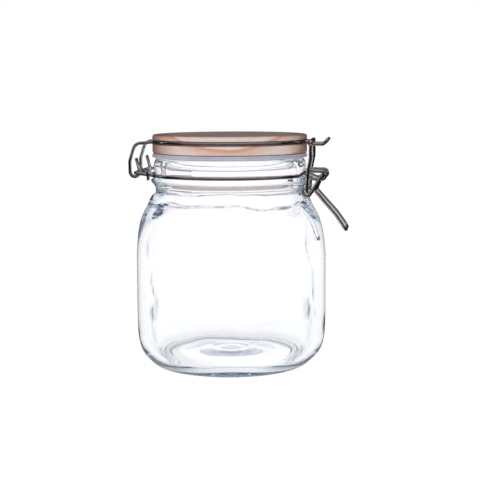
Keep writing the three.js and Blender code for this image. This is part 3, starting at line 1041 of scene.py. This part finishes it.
def floor_material():
    """White floor that glows: it takes a little real shadow near the jar and melts into the white
    surround. Its glow is painted light: seen through the glass it is a little brighter under the
    jar, and in what the wires reflect it glows faintly near the jar and goes dark further out."""
    material, graph, shader, output = new_material("white floor")
    place = graph.add("ShaderNodeTexCoord").outputs["Object"]
    away = graph.add("ShaderNodeVectorMath", {0: place}, operation="LENGTH").outputs["Value"]
    grain = graph.add("ShaderNodeTexNoise", {"Vector": place, "Scale": 120.0}).outputs["Fac"]
    paper = graph.spread(grain, 0.3, 0.7, 0.86, 0.9)
    light = graph.add("ShaderNodeLightPath")
    bright = graph.add("ShaderNodeEmission", {"Color": WHITE})
    # painted reflection: as the wires mirror it, the floor glows 0.22 near the jar and fades to
    # 0.02 further out
    mirrored = graph.spread(away, 0.06, 0.16, 0.22, 0.02)
    # painted light: seen through the glass, the floor glows brighter under the jar than round it
    painted_glow_under_jar = graph.spread(away, 0.036, 0.05, 1.22, 1.16)
    strength = graph.between(reflected(graph, light), 1.02, mirrored)
    strength = graph.between(light.outputs["Is Transmission Ray"], strength, painted_glow_under_jar)
    graph.tree.links.new(strength, bright.inputs["Strength"])
    graph.tree.links.new(paper, shader.inputs["Roughness"])
    shader.inputs["Base Color"].default_value = (0.9, 0.9, 0.9, 1.0)
    share = graph.spread(away, 0.05, 0.3, 0.97, 1.0)
    mix = graph.add("ShaderNodeMixShader", {0: share, 1: shader.outputs[0], 2: bright.outputs[0]})
    graph.tree.links.new(mix.outputs[0], output.inputs["Surface"])
    return material


def floor_surface():
    """A level slab 2 mm thick, 0.2 mm under the foot: (r cos a, r sin a, z) for r out to 4 m."""
    radii = np.array([0.05, 0.1, 0.2, 0.4, 0.8, 1.6, 3.0, 4.0]) / MM
    under = np.column_stack([radii, np.full(len(radii), -2.0)])
    top = np.column_stack([radii[::-1], np.zeros(len(radii))])
    profile = np.vstack([under, top]) - [0, 0.2]
    low, high = profile[0, 1] * MM, profile[-1, 1] * MM
    rows = turned_rows(profile, 96) * MM
    return closed_surface("floor", rows, length_along(profile * MM), [0, 0, low], [0, 0, high])


def soft_light(name, place, width, height, watts, shines):
    """A rectangular softbox that faces the jar and isn't seen itself. One that doesn't shine
    lights the wood but isn't mirrored in anything."""
    data = bpy.data.lights.new(name, "AREA")
    data.shape, data.size, data.size_y, data.energy = "RECTANGLE", width, height, watts
    light = bpy.data.objects.new(name, data)
    bpy.context.scene.collection.objects.link(light)
    light.location = place
    towards = Vector(AIM_POINT) - Vector(place)
    light.rotation_mode = "QUATERNION"
    light.rotation_quaternion = towards.to_track_quat("-Z", "Y")
    light.visible_camera = False
    light.visible_transmission = False
    light.visible_glossy = shines


def surround():
    """White all round for what is seen directly and through the glass, dimmer for light that
    has bounced inside the glass many times, and for reflections a dark room with a bright
    ceiling and a window in front."""
    world = bpy.data.worlds.new("studio")
    bpy.context.scene.world = world
    world.use_nodes = True
    world.node_tree.nodes.clear()
    graph = Graph(world.node_tree)
    light = graph.add("ShaderNodeLightPath")
    direction = graph.add("ShaderNodeTexCoord").outputs["Generated"]
    axes = graph.add("ShaderNodeSeparateXYZ", {0: direction})
    height = axes.outputs["Z"]
    ceiling = graph.spread(height, 0.6, 0.85, 0.0, 0.6)
    room = graph.blend(ceiling, DARK_ROOM, CEILING)
    front = graph.spread(axes.outputs["Y"], -0.35, -0.1, 1.0, 0.0)
    window = graph.math("MULTIPLY", front, graph.spread(height, 0.03, 0.08))
    window = graph.math("MULTIPLY", window, graph.spread(height, 0.27, 0.34, 1.0, 0.0))
    room = graph.blend(window, room, WINDOW)
    depth = graph.spread(light.outputs["Ray Depth"], 4.5, 13.0)
    inside = graph.blend(depth, BEHIND_GLASS, DEEP_IN_GLASS)
    shade = graph.spread(height, 0.05, 0.6, 0.0, 1.0)
    soft = graph.blend(shade, SOFT_LOW, SOFT_OVERHEAD)
    colour = graph.blend(light.outputs["Is Diffuse Ray"], WHITE, soft)
    colour = graph.blend(light.outputs["Is Transmission Ray"], colour, inside)
    colour = graph.blend(reflected(graph, light), colour, room)
    background = graph.add("ShaderNodeBackground", {"Color": colour, "Strength": 1.0})
    graph.add("ShaderNodeOutputWorld", {"Surface": background.outputs[0]})


def aim_camera(studio):
    """The camera stands off the jar's axis and looks almost at it, a little down."""
    data = bpy.data.cameras.new("camera")
    data.sensor_width, data.lens = 36.0, studio.lens
    data.clip_start, data.clip_end = 0.01, 50.0
    camera = bpy.data.objects.new("camera", data)
    bpy.context.scene.collection.objects.link(camera)
    heading = math.atan2(-studio.camera_side, studio.camera_back) + CAMERA_TURN
    level = math.cos(CAMERA_PITCH)
    forward = (math.sin(heading) * level, math.cos(heading) * level, math.sin(CAMERA_PITCH))
    roll = Quaternion((0, 0, 1), CAMERA_ROLL)
    camera.rotation_mode = "QUATERNION"
    camera.location = (AXIS_X + studio.camera_side, -studio.camera_back, studio.camera_height)
    camera.rotation_quaternion = Vector(forward).to_track_quat("-Z", "Y") @ roll
    bpy.context.scene.camera = camera


# ---------------------------------------------------------------- operators


class JAR_OT_glass(bpy.types.Operator):
    """Builds the glass jar"""

    bl_idname = "jar.glass"
    bl_label = "Glass jar"

    def execute(self, context):
        scene = context.scene
        piece = jar_surface(scene.jar_sizes, JAR_SIDES)
        finish_piece(piece, glass_material(scene.jar_finishes), "jar", "glass_jar")
        return {"FINISHED"}


class JAR_OT_lid(bpy.types.Operator):
    """Turns the wooden lid"""

    bl_idname = "jar.lid"
    bl_label = "Wooden lid"

    def execute(self, context):
        scene = context.scene
        piece = lid_surface(scene.lid_sizes, scene.wire_sizes.radius)
        finish_piece(piece, pine_material(scene.jar_finishes), "lid", "wooden_lid")
        return {"FINISHED"}


class JAR_OT_seal(bpy.types.Operator):
    """Moulds the silicone seal"""

    bl_idname = "jar.seal"
    bl_label = "Silicone seal"

    def execute(self, context):
        scene = context.scene
        piece = seal_surface(scene.lid_sizes)
        finish_piece(piece, silicone_material(scene.jar_finishes), "lid", "lid_seal")
        return {"FINISHED"}


class JAR_OT_wires(bpy.types.Operator):
    """Bends the four wires of the clamp"""

    bl_idname = "jar.wires"
    bl_label = "Clamp wires"

    def execute(self, context):
        scene = context.scene
        sizes = scene.wire_sizes
        radius = sizes.radius / MM
        steel = steel_material(scene.jar_finishes)
        for name, route, body, node in (
            ("wire_round_neck", neck_route(radius), "jar", "neck_wire"),
            ("wire_round_lid", lid_route(radius), "lid", "lid_wire"),
            ("wire_lever", lever_route(), "lever", "clamp_lever"),
            ("wire_link", link_route(), "link", "clamp_link"),
        ):
            finish_piece(wire_surface(name, route, sizes), steel, body, node)
        return {"FINISHED"}


class JAR_OT_stage(bpy.types.Operator):
    """Sets the floor, the soft lights and the camera"""

    bl_idname = "jar.stage"
    bl_label = "Stage"

    def execute(self, context):
        scene = context.scene
        studio = scene.jar_studio
        scene.view_settings.view_transform = "Standard"
        scene.cycles.max_bounces = 64  # light crosses many glass faces before it gets out
        scene.cycles.glossy_bounces = 48
        scene.cycles.transmission_bounces = 48
        floor = floor_surface()
        floor.data.materials.append(floor_material())
        surround()
        for name, place, width, height, watts, shines in SOFTBOXES:
            soft_light(name, place, width, height, watts * studio.light, shines)
        aim_camera(studio)
        return {"FINISHED"}


class JAR_PT_panel(bpy.types.Panel):
    """Lists the jar's sizes, colours and pieces"""

    bl_idname = "JAR_PT_panel"
    bl_label = "Storage jar"
    bl_space_type = "VIEW_3D"
    bl_region_type = "UI"
    bl_category = "Jar"

    def draw(self, context):
        scene = context.scene
        for title, group in (
            ("Jar", scene.jar_sizes),
            ("Lid", scene.lid_sizes),
            ("Wires", scene.wire_sizes),
            ("Finishes", scene.jar_finishes),
            ("Studio", scene.jar_studio),
        ):
            box = self.layout.box()
            box.label(text=title)
            for key in group.__annotations__:
                box.prop(group, key)
        for operator in OPERATORS:
            self.layout.operator(operator.bl_idname)


OPERATORS = (JAR_OT_glass, JAR_OT_lid, JAR_OT_seal, JAR_OT_wires, JAR_OT_stage)
GROUPS = {
    "jar_sizes": JarSizes,
    "lid_sizes": LidSizes,
    "wire_sizes": WireSizes,
    "jar_finishes": Finishes,
    "jar_studio": Studio,
}


def register():
    for cls in (*GROUPS.values(), *OPERATORS, JAR_PT_panel):
        bpy.utils.register_class(cls)
    for name, group in GROUPS.items():
        setattr(bpy.types.Scene, name, bpy.props.PointerProperty(type=group))


def unregister():
    for name in GROUPS:
        delattr(bpy.types.Scene, name)
    for cls in reversed((*GROUPS.values(), *OPERATORS, JAR_PT_panel)):
        bpy.utils.unregister_class(cls)


def main():
    register()
    for operator in OPERATORS:
        family, name = operator.bl_idname.split(".")
        if getattr(getattr(bpy.ops, family), name)() != {"FINISHED"}:
            raise RuntimeError(f"{operator.bl_label} wasn't made")


if __name__ == "__main__":
    main()
